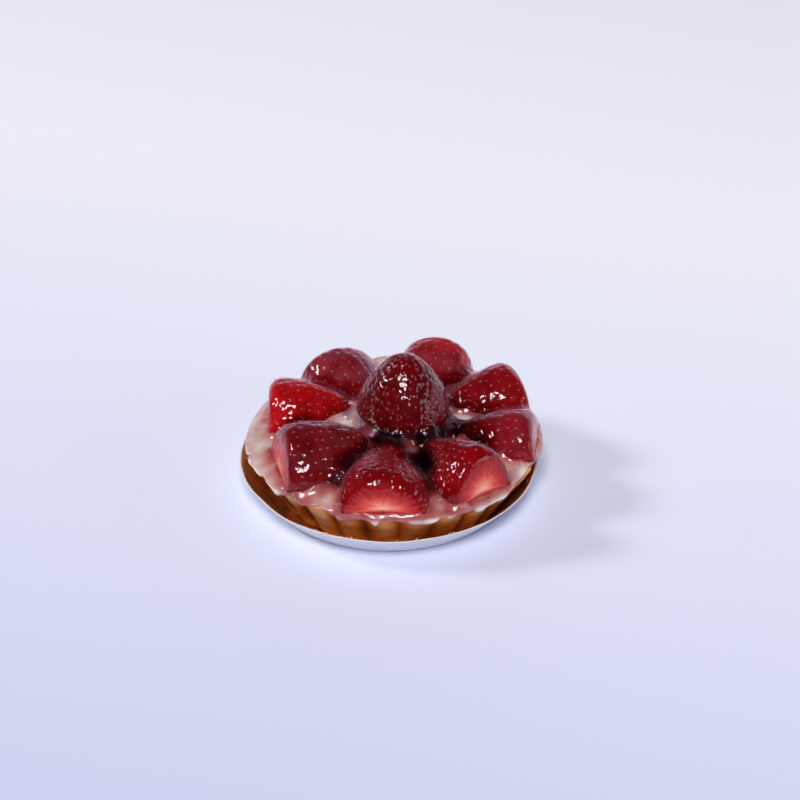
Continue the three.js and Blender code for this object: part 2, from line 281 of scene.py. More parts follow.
def closed_form(first, rings, last):
    """The points and faces of a closed form: a point, closed rings of points, and another point."""
    rows, columns = rings.shape[:2]
    row, column = np.meshgrid(np.arange(rows - 1), np.arange(columns), indexing="ij")
    a = 1 + row * columns + column
    b = 1 + row * columns + (column + 1) % columns
    faces = [(0, 1 + (i + 1) % columns, 1 + i) for i in range(columns)]
    faces += np.stack([a, b, b + columns, a + columns], -1).reshape(-1, 4).tolist()
    end = 1 + (rows - 1) * columns
    faces += [(end + columns, end + i, end + (i + 1) % columns) for i in range(columns)]
    return np.concatenate([[first], rings.reshape(-1, 3), [last]]), faces


def joined(forms):
    """Several forms' points and faces as one form's."""
    count, all_faces = 0, []
    for points, faces in forms:
        all_faces += [tuple(count + i for i in f) for f in faces]
        count += len(points)
    return np.concatenate([points for points, _ in forms]), all_faces


# ---------------- finishes
def foil_card(tree, place):
    """Gold foil laid on card: a warm metal that mirrors the crust softly, with faint creases from pressing."""
    # pressing creases are about 4 mm apart
    creases = add(tree, "TexNoise", {"Scale": 250.0, "Detail": 3.0}, {"Vector": place})
    bump = add(tree, "Bump", {"Strength": 0.12, "Distance": 0.0004}, {"Height": creases})
    tint = add(tree, "ValToRGB", links={"Fac": creases}, stops=[(0.3, "#c48a40"), (0.7, "#e2ae64")])
    return add(tree, "BsdfPrincipled", {"Metallic": 1.0, "Roughness": 0.42}, {"Base Color": tint, "Normal": bump})


def white_card(tree, place):
    """Clay-coated white card: cool and smooth, with a low sheen that picks up the room's light."""
    # the pulp's mottle is about 1.5 mm across
    mottle = add(tree, "TexNoise", {"Scale": 650.0, "Detail": 4.0}, {"Vector": place})
    tint = add(tree, "ValToRGB", links={"Fac": mottle}, stops=[(0.3, "#d5d4db"), (0.7, "#e0dfe5")])
    bump = add(tree, "Bump", {"Strength": 0.06, "Distance": 0.0002}, {"Height": mottle})
    return add(tree, "BsdfPrincipled", {"Roughness": 0.38, "IOR": 1.5}, {"Base Color": tint, "Normal": bump})


def shortcrust(tree, place):
    """Baked shortcrust: golden on the flutes' crests, with painted shade darkening their valleys, darker towards
    the foot of the wall, and with a fine, dry crumb.
    """
    baked = add(tree, "Attribute", attribute_name="baked").outputs["Fac"]
    # browning drifts over about 9 mm, the crumb is 0.8 mm and its pores are 1.1 mm apart
    drift = add(tree, "TexNoise", {"Scale": 110.0, "Detail": 4.0}, {"Vector": place})
    crumb = add(tree, "TexNoise", {"Scale": 1250.0, "Detail": 5.0, "Roughness": 0.65}, {"Vector": place})
    pores = add(tree, "TexVoronoi", {"Scale": 900.0}, {"Vector": place})
    shaded_browning = varied(tree, varied(tree, baked, drift, 0.34, -0.17), crumb, 0.22, -0.11)
    tint = add(tree, "ValToRGB", links={"Fac": shaded_browning},
               stops=[(0.0, "#f6c896"), (0.3, "#eea664"), (0.5, "#da7a2c"), (0.72, "#a84c0c"), (1.0, "#622606")])
    rough = add(tree, "Math", links={0: crumb, 1: pores}, operation="ADD")
    bump = add(tree, "Bump", {"Strength": 0.45, "Distance": 0.0003}, {"Height": rough})
    return add(tree, "BsdfPrincipled",
               {"Roughness": 0.55, "IOR": 1.45, "Coat Weight": 0.4, "Coat Roughness": 0.2,
                "Subsurface Weight": 0.12, "Subsurface Scale": 0.0015, "Subsurface Radius": (1.0, 0.5, 0.25)},
               {"Base Color": tint, "Normal": bump})


def pastry_cream(tree, place):
    """Set pastry cream: dense and pale, light sinks into it softly, berry juice has stained it pink, and
    painted shade darkens it between the berries.
    """
    juice = add(tree, "Attribute", attribute_name="juice").outputs["Fac"]
    # the edge of the juice stain and of the painted shade wanders over about 5 mm, and the cream's own curds are about
    # 1.2 mm
    wander = add(tree, "TexNoise", {"Scale": 200.0, "Detail": 4.0}, {"Vector": place})
    curds = add(tree, "TexNoise", {"Scale": 800.0, "Detail": 3.0}, {"Vector": place})
    tint = add(tree, "ValToRGB", links={"Fac": varied(tree, juice, wander, 0.3, -0.15)},
               stops=[(0.0, "#efe2d8"), (0.2, "#ceb0a6"), (0.4, "#b8766e"), (0.6, "#9c3a36"), (0.9, "#480a0a")])
    bump = add(tree, "Bump", {"Strength": 0.12, "Distance": 0.0003}, {"Height": curds})
    return add(tree, "BsdfPrincipled",
               {"Roughness": 0.34, "IOR": 1.45, "Coat Weight": 1.0, "Coat Roughness": 0.13, "Coat IOR": 1.45,
                "Subsurface Weight": 0.35, "Subsurface Scale": 0.003, "Subsurface Radius": (1.0, 0.6, 0.45)},
               {"Base Color": tint, "Normal": bump})


def sliced_berry(tree, place):
    """A ripe strawberry sliced in half, wet with glaze: deep red skin that pales near the stalk, though on the
    standing whole berry painted shade darkens the stalk end instead, and a coral cut face with pale veins that fades
    softly into the skin at its rounded edge."""
    ripe, cut, from_heart = (add(tree, "Attribute", attribute_name=name).outputs["Fac"]
                             for name in ("ripe", "cut", "from_heart"))
    spoke = add(tree, "Attribute", attribute_name="spoke").outputs["Vector"]
    # the blush varies over about 7 mm, and the cells are 0.5 mm
    blush = add(tree, "TexNoise", {"Scale": 140.0, "Detail": 4.0}, {"Vector": place})
    cells = add(tree, "TexNoise", {"Scale": 1900.0, "Detail": 2.0}, {"Vector": place})
    skin = add(tree, "ValToRGB", links={"Fac": varied(tree, ripe, blush, 0.6, -0.28)},
               stops=[(0.0, "#da6a68"), (0.2, "#cc1a1a"), (0.38, "#b4050a"), (0.62, "#820107"), (1.0, "#4a0004")])
    # the veins run outwards and are about 2 mm apart where they reach the skin, with finer ones between
    veins = add(tree, "TexNoise", {"Scale": 6.5, "Detail": 3.0, "Roughness": 0.6}, {"Vector": spoke})
    flesh = add(tree, "ValToRGB", links={"Fac": varied(tree, from_heart, veins, 0.8, -0.4)},
                stops=[(0.0, "#fccdae"), (0.22, "#f49a7c"), (0.42, "#e65c46"), (0.66, "#c82822"), (0.9, "#980e14")])
    share = add(tree, "MapRange", {"From Min": 0.45, "From Max": 1.1},
                {"Value": varied(tree, cut, veins, 0.5, -0.25)}, interpolation_type="SMOOTHSTEP")
    tint = add(tree, "Mix", links={"Factor": share, 6: skin, 7: flesh}, data_type="RGBA").outputs[2]
    bump = add(tree, "Bump", {"Strength": 0.1, "Distance": 0.0002}, {"Height": cells})
    return add(tree, "BsdfPrincipled",
               {"Roughness": 0.4, "IOR": 1.4, "Specular IOR Level": 0.05, "Subsurface Weight": 0.15,
                "Subsurface Scale": 0.002, "Subsurface Radius": (1.0, 0.2, 0.14)},
               {"Base Color": tint, "Normal": bump})


def berry_seed(tree, place):
    """Strawberry seeds: hard and straw-gold, some greener or browner than the rest."""
    # the shade changes over about 2.4 mm, so from one seed to the next
    shade = add(tree, "TexNoise", {"Scale": 420.0, "Detail": 1.0}, {"Vector": place})
    paleness = add(tree, "Attribute", attribute_name="ripe").outputs["Fac"]
    level = add(tree, "Math", links={0: shade, 1: paleness}, operation="ADD")
    tint = add(tree, "ValToRGB", links={"Fac": level},
               stops=[(0.3, "#7e2e0e"), (0.45, "#a6501c"), (0.58, "#b46a32"), (0.66, "#7c3024"), (0.9, "#8e4232")])
    return add(tree, "BsdfPrincipled", {"Roughness": 0.3, "IOR": 1.5, "Specular IOR Level": 0.4},
               {"Base Color": tint})


def fruit_glaze(tree, place):
    """Set fruit gel, brushed on hot: clear and wet, with a pale milky layer where it is seen edge on that is partly
    the gel's own milkiness and partly painted sheen, stained dark low down between the berries, which is painted
    shade that also stands for thick, juice-dark gel, with small ripples that break up the reflected lights."""
    speckle, thick_gel_shade, face_on_sheen = (add(tree, "Attribute", attribute_name=name).outputs["Fac"]
                                 for name in ("speckle", "thick_gel_shade", "milky_sheen"))
    # brush ripples are about 6 mm, the beads where the film is thin 1.7 mm, and the patches of its milky layer and
    # painted sheen 8 mm
    ripples = add(tree, "TexNoise", {"Scale": 155.0, "Detail": 1.5}, {"Vector": place})
    beads = add(tree, "TexVoronoi", {"Scale": 600.0}, {"Vector": place})
    patches = add(tree, "TexNoise", {"Scale": 120.0, "Detail": 3.0}, {"Vector": place})
    domes = add(tree, "Math", {1: 2.0}, {0: beads}, operation="POWER")
    height = add(tree, "Math", links={0: domes, 1: speckle, 2: ripples}, operation="MULTIPLY_ADD")
    bump = add(tree, "Bump", {"Strength": 0.7, "Distance": 0.0011}, {"Height": height})
    gloss = add(tree, "BsdfGlossy", {"Color": linear("#fff0f5"), "Roughness": 0.055}, {"Normal": bump})
    # painted shade: where the gel is stained thick, what shows through it turns dark red
    stain = add(tree, "ValToRGB", links={"Fac": thick_gel_shade},
                stops=[(0.0, "#faf3f6"), (0.15, "#c4b2c6"), (0.45, "#5e1622"), (0.8, "#2a0206")])
    clear = add(tree, "BsdfTransparent", links={"Color": stain})
    # a pale diffuse layer: partly the gel's own milkiness, partly painted sheen
    milky_sheen = add(tree, "BsdfDiffuse", {"Color": linear("#c48cac")})
    facing = add(tree, "LayerWeight", {"Blend": 0.3}).outputs["Facing"]
    edge_on = add(tree, "Math", {1: 3.6}, {0: facing}, operation="POWER")
    patchy = add(tree, "MapRange", {"From Min": 0.35, "From Max": 0.6, "To Min": 0.1, "To Max": 0.9},
                 {"Value": patches})
    # painted sheen: some berries get the pale layer where they are seen face on as well
    veil = add(tree, "Math", links={0: edge_on, 1: face_on_sheen}, operation="ADD")
    patched = add(tree, "Math", links={0: veil, 1: patchy}, operation="MULTIPLY")
    # light that leaves the gel from inside passes straight out, as it does where gel and fruit touch
    inside = add(tree, "NewGeometry").outputs["Backfacing"]
    no_sheen = add(tree, "Math", links={0: inside, 1: thick_gel_shade}, operation="MAXIMUM")
    sheen_share = add(tree, "Math", links={0: patched, 1: no_sheen}, operation="SUBTRACT", use_clamp=True)
    body = add(tree, "MixShader", links={0: sheen_share, 1: clear, 2: milky_sheen})
    fresnel = add(tree, "Fresnel", {"IOR": 1.45}, {"Normal": bump})
    # where the gel is stained thick its gloss is taken away as well, as painted shade for the berries' own shade, where
    # it would mirror nothing bright
    bare = add(tree, "Math", {1: -1.8, 2: 1.0}, {0: thick_gel_shade}, operation="MULTIPLY_ADD", use_clamp=True)
    open_gloss = add(tree, "Math", links={0: fresnel, 1: bare}, operation="MULTIPLY")
    glossy = add(tree, "Math", links={0: open_gloss, 1: inside}, operation="SUBTRACT", use_clamp=True)
    return add(tree, "MixShader", links={0: glossy, 1: body, 2: gloss})


def pale_floor(tree, place):
    """Matt pale laminate: a cool white with no pattern, and painted light that brightens it softly towards the back
    and a little towards the right.
    """
    along = add(tree, "VectorMath", {1: (0.3, 1.0, 0.0)}, {0: place}, operation="DOT_PRODUCT").outputs["Value"]
    deep = add(tree, "MapRange", {"From Min": -0.3, "From Max": 0.5}, {"Value": along})
    tint = add(tree, "ValToRGB", links={"Fac": deep}, stops=[(0.0, "#c5c9e3"), (0.36, "#e6e9f9"), (0.7, "#ffffff")])
    return add(tree, "BsdfPrincipled", {"Roughness": 0.55, "IOR": 1.45}, {"Base Color": tint})


FOIL = finish("gold_foil_on_card", foil_card)
CARD = finish("coated_white_card", white_card)
CRUST = finish("baked_shortcrust", shortcrust)
CREAM = finish("set_pastry_cream", pastry_cream)
BERRY = finish("sliced_ripe_strawberry", sliced_berry)
SEED = finish("straw_gold_seed", berry_seed)
GLAZE = finish("clear_fruit_glaze", fruit_glaze)
LAMINATE = finish("matt_pale_laminate", pale_floor)


# ---------------- dish
def make_dish():
    columns = 240
    front = all_round(columns)
    foot, wall = (15, 30, 44), np.linspace(0, 1, 14)
    inner_foot = DISH_FOOT_RADIUS - CARD_ACROSS + DISH_SLOPE * CARD_THICKNESS
    outer = [(r, 0) for r in foot] + [(45.4, 0.02)]
    outer += [(lerp(DISH_FOOT_RADIUS, DISH_RIM_RADIUS, t), lerp(0.12, DISH_HEIGHT, t)) for t in wall]
    rim = [(DISH_RIM_RADIUS - share * CARD_ACROSS, DISH_HEIGHT + 0.06) for share in (0.3, 0.7)]
    inner = [(lerp(DISH_RIM_RADIUS - CARD_ACROSS, inner_foot, t), lerp(DISH_HEIGHT, CARD_THICKNESS + 0.1, t))
             for t in wall]
    inner += [(r, CARD_THICKNESS) for r in reversed(foot)]
    profile = np.array(outer + rim + inner)
    radius, height = profile[:, :1], profile[:, 1:]
    stray = DISH_WOBBLE * wave(front, 3, 0.8) - DISH_DENT["depth"] * bump_at(front, DISH_DENT)
    stray += 0.1 * (wave(front, 17, 1.1) - 1.1)
    radius = radius + stray * (radius / DISH_RIM_RADIUS) * (height / DISH_HEIGHT)
    height = height + 0.12 * wave(front, 5, 2.0) * (height / DISH_HEIGHT) ** 2
    rings = np.stack([radius * np.sin(front), -radius * np.cos(front), height], -1)
    points, faces = closed_form([0, 0, 0], rings, [0, 0, CARD_THICKNESS])
    gold = np.arange(len(faces)) >= columns * (len(outer) + len(rim))
    piece = make_piece("gold_dish", points, faces, [CARD, FOIL], gold)
    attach(piece, "root")
    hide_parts("dish")


# ---------------- crust
def up_the_wall(height):
    return (height - CRUST_BASE_Z) / (CRUST_RIM_Z - CRUST_BASE_Z)


def flute_depth(front, height):
    """The pressed flutes, which came out of the tin shallower at the front than elsewhere."""
    crest = np.abs(np.sin(FLUTES * (front - math.radians(FLUTE_VALLEY)) / 2)) ** 0.8
    kept = 1 - 0.5 * bump_at(front, dict(front=14, width=32)) + 0.12 * wave(front, 4, 0.9)
    return lerp(FLUTE_DEPTH_AT_BASE, FLUTE_DEPTH_AT_RIM, up_the_wall(height)) * (1 - crest) * kept


def crust_radius(front, height):
    up = up_the_wall(height)
    uneven = (CRUST_UNEVEN * wave(front, 5, 1.7) - CRUST_SLUMP["depth"] * bump_at(front, CRUST_SLUMP)) * up
    return lerp(CRUST_BASE_RADIUS, CRUST_RIM_RADIUS, up) - flute_depth(front, height) + uneven


def crust_rim_z(front):
    return CRUST_RIM_Z + CRUST_UNEVEN * wave(front, 7, 0.4)


def cavity_radius(height):
    return lerp(CRUST_BASE_RADIUS, CRUST_RIM_RADIUS, up_the_wall(height)) - FLUTE_DEPTH_AT_RIM - CRUST_WALL + 1


def on_tart(front, radius, height):
    """Points from angles, radii and heights about the tart's own middle."""
    return np.stack([TART_OFFSET + radius * np.sin(front), -radius * np.cos(front), height + 0 * radius], -1)


def make_crust():
    front = all_round(FLUTES * 32)
    level = 0 * front
    rim = crust_rim_z(front)
    floor_z = CRUST_BASE_Z + CRUST_FLOOR
    base_rows, wall_rows, rim_rows = 4, 44, 5
    # each row's radii, heights and how deep in a flute it lies, from 0 to 1
    rows = [(radius + level, CRUST_BASE_Z + level, level) for radius in (20, 40)]
    rows += [(crust_radius(front, CRUST_BASE_Z) * share - 0.3, CRUST_BASE_Z + level,
              flute_depth(front, CRUST_BASE_Z) / FLUTE_DEPTH_AT_BASE) for share in (0.985, 0.995)]
    for share in np.linspace(0.02, 0.97, wall_rows):
        height = lerp(CRUST_BASE_Z, rim, share)
        deepest = lerp(FLUTE_DEPTH_AT_BASE, FLUTE_DEPTH_AT_RIM, share)
        rows.append((crust_radius(front, height), height, flute_depth(front, height) / deepest))
    for inward, drop in ((0.25, 0.15), (0.8, 0.0), (1.6, 0.0), (2.4, 0.05), (3.0, 0.25)):
        rows.append((crust_radius(front, rim) - inward, rim - drop, 0.2 + level))
    rows.append((cavity_radius(CRUST_RIM_Z) + level, rim - 0.5, 0.3 + level))
    rows += [(radius + level, floor_z + level, 0.3 + level) for radius in (cavity_radius(floor_z), 20)]
    radii, heights, depth = np.array(rows).transpose(1, 0, 2)
    rings = on_tart(front, radii, heights)
    outside = rings[base_rows:base_rows + wall_rows + rim_rows]
    lump = 0.28 * lumpy(outside, 6.0, 3.0) + 0.13 * lumpy(outside, 1.6, 9.0, 2)
    outside += lump[..., None] * np.stack([np.sin(front), -np.cos(front), level], -1)
    outside[wall_rows:, :, 2] += 0.7 * lump[wall_rows:]
    share_up = clamp(up_the_wall(rings[..., 2]), 0, 1)
    # painted shade: the deeper in a flute, the darker; the wall is also darker towards its foot, and the lumps are the
    # crust's own uneven browning
    baked = 0.3 + 0.62 * depth ** 1.3 + 0.16 * (1 - share_up) - 0.3 * lumpy(rings, 14.0, 5.0, 2)
    points, faces = closed_form([TART_OFFSET, 0, CRUST_BASE_Z], rings, [TART_OFFSET, 0, floor_z])
    piece = make_piece("crust_shell", points, faces, [CRUST], baked=np.concatenate([[0.5], baked.ravel(), [0.5]]))
    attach(piece, "root")
    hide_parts("crust")


# ---------------- strawberries
def thickness(size, turn):
    """How thick a berry is from its stalk, turn 0, to its tip, turn pi, as a share of its thickest."""
    taper, pointed = size["taper"], size["pointed"]
    widest = math.acos((math.sqrt(1 + 8 * taper * taper) - 1) / (4 * taper))
    scale = 1 / (math.sin(widest) ** pointed * (1 + taper * math.cos(widest)))
    return np.maximum(np.sin(turn), 0) ** pointed * (1 + taper * np.cos(turn)) * scale


def skin_point(size, turn, around, push):
    """Points on a strawberry that lies along +X, its stalk's cut at x = 0; push moves them inward."""
    start, seed = 1 - 2 * size["cut"], size["growth"]
    lumps = 1 + LUMPS * np.sin(turn) * (np.sin(2 * around + seed) + np.sin(3 * around + 2 * turn + 2 * seed))
    radius = thickness(size, turn) * lumps
    x = size["length"] * (start - np.cos(turn)) / (1 + start) + push * np.cos(turn)
    y = np.cos(around) * (radius * size["width"] / 2 - push * np.sin(turn))
    z = np.sin(around) * (radius * size["height"] - push * np.sin(turn))
    return np.stack([x, y, z], -1)


def seeds_on(size, random):
    """Where the seeds sit, as turn and around, in staggered rows that close up towards the tip."""
    count = 200
    turns = np.linspace(0.02, math.pi - 0.02, count)
    line = skin_point(size, turns, np.full(count, math.pi / 2), 0)
    steps = np.concatenate([[0], np.cumsum(np.linalg.norm(np.diff(line, axis=0), axis=1))])
    places, distance, row = [], 1.2, 0
    stray, spacing = (0.2, 0.92) if size is WHOLE else (0.12, 1.0)
    while distance < steps[-1] - 0.6:
        turn = np.interp(distance, steps, turns)
        girth = 2 * math.pi * np.linalg.norm(line[min(count - 1, int(turn / math.pi * count))][1:])
        pitch = SEED_PITCH * spacing * lerp(1.0, 0.75, smooth(turn, 1.7, 2.9))
        seeds = max(3, round(girth / pitch))
        for i in range(seeds):
            around = 2 * math.pi * (i + 0.5 * (row % 2)) / seeds + random.normal(0, stray * 2 * math.pi / seeds)
            places.append((turn + random.normal(0, 0.2 * stray), around))
        distance += 0.84 * pitch
        row += 1
    return np.array(places)


def cut_turns(size, around, push):
    """Where the skin meets the knife's plane, which leans back by the berry's tilt, for each angle around."""
    low = np.full(len(around), 0.02)
    high = np.full(len(around), 2.2)
    for _ in range(40):
        middle = (low + high) / 2
        p = skin_point(size, middle, around, push)
        beyond = p[:, 0] - p[:, 2] * math.tan(size["tilt"]) > 0
        high = np.where(beyond, middle, high)
        low = np.where(beyond, low, middle)
    return (low + high) / 2


def cream_top(x, y):
    radius = np.hypot(x, y)
    inward = CREAM_DOME_RADIUS - clamp(radius, CREAM_PLATEAU_RADIUS, CREAM_DOME_RADIUS)
    rise = CREAM_BACK_RISE * clamp(y / CREAM_DOME_RADIUS, 0, 1)
    out = clamp((radius - BACK_BULGE["start"]) / (CREAM_DOME_RADIUS - BACK_BULGE["start"]), 0, 1)
    dome = CREAM_EDGE_Z + inward * math.tan(CREAM_DOME_SLOPE) + rise
    seat = clamp((CREAM_SEAT["foot"] - radius) / (CREAM_SEAT["foot"] - CREAM_SEAT["radius"]), 0, 1)
    bulge = BACK_BULGE["height"] * bump_at(np.arctan2(x, -y), BACK_BULGE) * out
    return lerp(dome + bulge, WHOLE["z"] - GAP, seat)


def seat_height(size):
    """The lowest height at which a half clears the cream all over its cut face."""
    heading, seat = size["heading"], 0.0
    for along in np.linspace(0, size["length"], 9):
        for side in (-1, -0.5, 0, 0.5, 1):
            across = side * 0.45 * size["width"] * (1 - along / size["length"] / 2)
            x = size["x"] + along * math.cos(heading) - across * math.sin(heading)
            y = size["y"] + along * math.sin(heading) + across * math.cos(heading)
            seat = max(seat, float(cream_top(x, y)) - along * math.tan(size["lift"]))
    return seat + GAP


def placed(points, size):
    """Stands the whole strawberry on its stalk's cut, or lifts a half's tip, turns it inwards and sets it down."""
    x, y, z = np.moveaxis(points, -1, 0)
    if size is WHOLE:
        return np.stack([size["x"] - z, size["y"] + y, size["z"] + x], -1)
    lift, heading = size["lift"], size["heading"]
    level = x * math.cos(lift) - z * math.sin(lift)
    return np.stack([TART_OFFSET + size["x"] + level * math.cos(heading) - y * math.sin(heading),
                     size["y"] + level * math.sin(heading) + y * math.cos(heading),
                     x * math.sin(lift) + z * math.cos(lift) + seat_height(size)], -1)


def pit_depths(points, pits):
    """How deep each point of the skin has sunk round the nearest seeds."""
    depths = np.zeros(len(points))
    block = 4000
    for start in range(0, len(points), block):
        near = points[start:start + block]
        gap = ((near[:, None] - pits) ** 2).sum(-1).min(1)
        depths[start:start + block] = PIT_DEPTH * np.exp(-gap / PIT_RADIUS ** 2) - 0.06 * (1 - np.exp(-gap / 4))
    return depths


SEED_SPOTS = []    # where the glaze lies over each seed, and that berry's glaze


def seed_shape(long, wide, high, rows=5, columns=7):
    """One seed along +X: a flat drop, blunt at one end."""
    turn = np.linspace(0, math.pi, rows + 2)[1:-1]
    around = all_round(columns)
    x = -np.cos(turn)[:, None] * long / 2 + 0 * around
    girth = (np.sin(turn) * (1 - 0.28 * np.cos(turn)))[:, None]
    rings = np.stack([x, girth * np.cos(around) * wide / 2, girth * np.sin(around) * high / 2], -1)
    return closed_form([-long / 2, 0, 0], rings, [long / 2, 0, 0])


def berry_rings(size, push, stations, face_rings, columns, pits=None):
    """A strawberry as rings of points from the middle of its cut face to its tip, and for each ring how far out
    from the heart it is and how much of it is cut face. push sinks it inside its outline."""
    whole = size is WHOLE
    around = all_round(columns) if whole else np.linspace(0, math.pi, columns)
    first = cut_turns(size, around, push)
    back = CUT_ROUNDING * (0.5 + 0 * around if whole else 0.12 + 0.88 * np.sin(around) ** 0.6)
    start = first + back / (size["length"] / (2 - 2 * size["cut"])) / np.sin(np.maximum(first, 0.6))
    turn = start + (math.pi - 0.012 - start) * np.linspace(0, 1, stations)[:, None] ** 0.92
    skin = skin_point(size, turn, around, push)
    if pits is not None:
        depths = pit_depths(skin.reshape(-1, 3), pits).reshape(turn.shape)
        skin = skin_point(size, turn, around, push + depths)
    rim = skin_point(size, first, around, push)
    if not whole:
        under = columns // 7
        share = (np.arange(under)[:, None] + 1) / (under + 1)
        skin[..., 2] = np.maximum(skin[..., 2], 0)
        skin = np.concatenate([skin, lerp(skin[:, -1:], skin[:, :1], share)], 1)
        rim = np.concatenate([rim, lerp(rim[-1:], rim[:1], share)], 0)
        back = np.concatenate([back, np.full(under, back[0])])
    high = 0 if whole else HEART_HEIGHT * size["height"]
    heart = np.array([high * math.tan(size["tilt"]), 0, high])
    inner = np.maximum(1 - back / np.linalg.norm(rim - heart, axis=1), 0.3)[:, None]
    flat = heart + (rim - heart) * inner * np.linspace(0.04, 1, face_rings)[:, None, None]
    edge_rings = 10
    t = np.linspace(0, 1, edge_rings + 2)[1:-1, None, None]
    rounded = (1 - t) ** 2 * flat[-1] + 2 * t * (1 - t) * rim + t ** 2 * skin[0]
    rings = np.concatenate([flat, rounded, skin])
    out = np.concatenate([np.linspace(0.04, 0.85, face_rings), np.linspace(0.86, 1, edge_rings), np.ones(stations)])
    cut = np.concatenate([np.ones(face_rings), 1 - smooth(np.linspace(0.05, 0.95, edge_rings), 0.0, 1.0),
                          np.zeros(stations)])
    turns = np.concatenate([np.full(face_rings + edge_rings, first.mean()), turn.mean(1)])
    return rings, heart, out, cut, turns


def make_berry(name, size, random):
    whole = size is WHOLE
    pits = seeds_on(size, random)
    pit_points = skin_point(size, pits[:, 0], pits[:, 1], GLAZE_SUNK)
    keep = pit_points[:, 0] - pit_points[:, 2] * math.tan(size["tilt"]) > (1.0 if whole else 2.2)
    if not whole:
        keep &= pit_points[:, 2] > 0.5
    pits, pit_points = pits[keep], pit_points[keep]
    rings, heart, out, cut, turns = berry_rings(size, GLAZE_SUNK, stations=110, face_rings=24,
                                                columns=180 if whole else 120, pits=pit_points)
    columns = rings.shape[1]
    skin = closed_form(heart, rings, rings[-1].mean(0) + [0.02, 0, 0])

    seeds = []
    level = GLAZE_SUNK + (0.2 if whole else 0.7) * PIT_DEPTH
    for turn_at, around_at in pits:
        here = skin_point(size, turn_at, around_at, level)
        ahead = skin_point(size, min(turn_at + 0.05, 3.12), around_at, level)
        beside = skin_point(size, turn_at, around_at + 0.05, level)
        along = ahead - here
        along /= np.linalg.norm(along)
        up = np.cross(beside - here, along)
        up /= np.linalg.norm(up)
        if np.dot(up, here - [here[0], 0, 0]) < 0:
            up = -up
        side = np.cross(up, along)
        big = random.uniform(0.8, 1.15)
        long, wide, high = size["seeds"]
        shape, shape_faces = seed_shape(long * big, wide * big, high)
        seeds.append((here + shape[:, :1] * along + shape[:, 1:2] * side + shape[:, 2:] * up, shape_faces))
    points, faces = joined([skin, *seeds])
    seed_points = len(points) - len(skin[0])

    def spread(first, ring_values, last, on_seeds):
        return np.concatenate([[first], np.repeat(ring_values, columns), [last], np.full(seed_points, on_seeds)])

    ripeness, pale, *glaze = SKINS[name]
    # where pale is below 0, as on the whole berry, the shoulder at its foot gets painted shade and its top is left
    # lighter
    ripe = 0.4 + 0.5 * ripeness - 0.45 * pale * (1 - smooth(turns, 0.7, 1.7))
    outward = rings[0] - heart
    spokes = np.arctan2(outward[:, 2], outward[:, 1])
    number = size["number"]
    spoke = np.stack(np.broadcast_arrays(np.cos(spokes), np.sin(spokes), 0.35 * out[:, None] + number), -1)
    spoke = np.concatenate([[[0, 0, number]], spoke.reshape(-1, 3), [[0, 0, number]], np.zeros((seed_points, 3))])
    on_glaze = placed(skin_point(size, pits[:, 0], pits[:, 1], -GLAZE_FILM), size)
    SEED_SPOTS.extend((spot, *glaze) for spot in on_glaze)
    piece = make_piece(name + "_glazed", placed(points, size), faces, [BERRY, SEED],
                       np.arange(len(faces)) >= len(skin[1]), spoke=spoke, cut=spread(1, cut, 0, 0),
                       ripe=spread(0.5, ripe, ripe[-1], 0.26 if whole else 0.0), from_heart=spread(0, out, 1, 1))
    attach(piece, "root")
    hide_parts(name)


def plain_berry(size):
    """A smooth copy of a berry's outline, for the glaze to wrap."""
    rings, heart, *_ = berry_rings(size, 0, stations=40, face_rings=5, columns=56)
    points, faces = closed_form(heart, rings, rings[-1].mean(0))
    return placed(points, size), faces


def berry_distance(size, x, y, z):
    """Roughly how far points are from the side of a half strawberry, in millimetres, below 0 inside it, and how
    far along it they are."""
    heading, lift, length = size["heading"], size["lift"], size["length"]
    dx, dy, dz = x - size["x"], y - size["y"], z - seat_height(size)
    level = dx * math.cos(heading) + dy * math.sin(heading)
    side = np.abs(-dx * math.sin(heading) + dy * math.cos(heading))
    along = level * math.cos(lift) + dz * math.sin(lift)
    start = 1 - 2 * size["cut"]
    turn = np.arccos(clamp(start - along / length * (1 + start), -1, 1))
    radius = thickness(size, turn) * size["width"] / 2
    beyond = np.maximum(np.maximum(-along, along - length), 0)
    inside = np.maximum(side - radius, -np.minimum(along, length - along))
    return np.where(beyond > 0, np.hypot(beyond, np.maximum(side - radius, 0)), inside), along


def berry_gaps(x, y, z):
    """How far points are from the nearest strawberry and from the next one, in millimetres."""
    nearest = np.maximum(np.hypot(x - WHOLE["x"] + TART_OFFSET, y - WHOLE["y"]) - WHOLE_REACH, 0)
    second = np.full(nearest.shape, 50.0)
    for size in HALVES.values():
        away = np.maximum(berry_distance(size, x, y, z)[0], 0)
        second = np.minimum(second, np.maximum(away, nearest))
        nearest = np.minimum(nearest, away)
    return nearest, second


# ---------------- cream
def unshaded_cream(x, y):
    return bell(x - UNSHADED_CREAM["x"], UNSHADED_CREAM["width"]) * bell(y - UNSHADED_CREAM["y"], UNSHADED_CREAM["depth"])


def cream_hang(front):
    knots = np.array(CREAM_EDGE)
    angle = (np.degrees(front) + 180) % 360 - 180
    where = np.concatenate([[knots[-1, 0] - 360], knots[:, 0], [knots[0, 0] + 360]])
    hangs = np.concatenate([[knots[-1, 1]], knots[:, 1], [knots[0, 1]]])
    spot = np.searchsorted(where, angle) - 1
    return lerp(hangs[spot], hangs[spot + 1], smooth(angle, where[spot], where[spot + 1]))


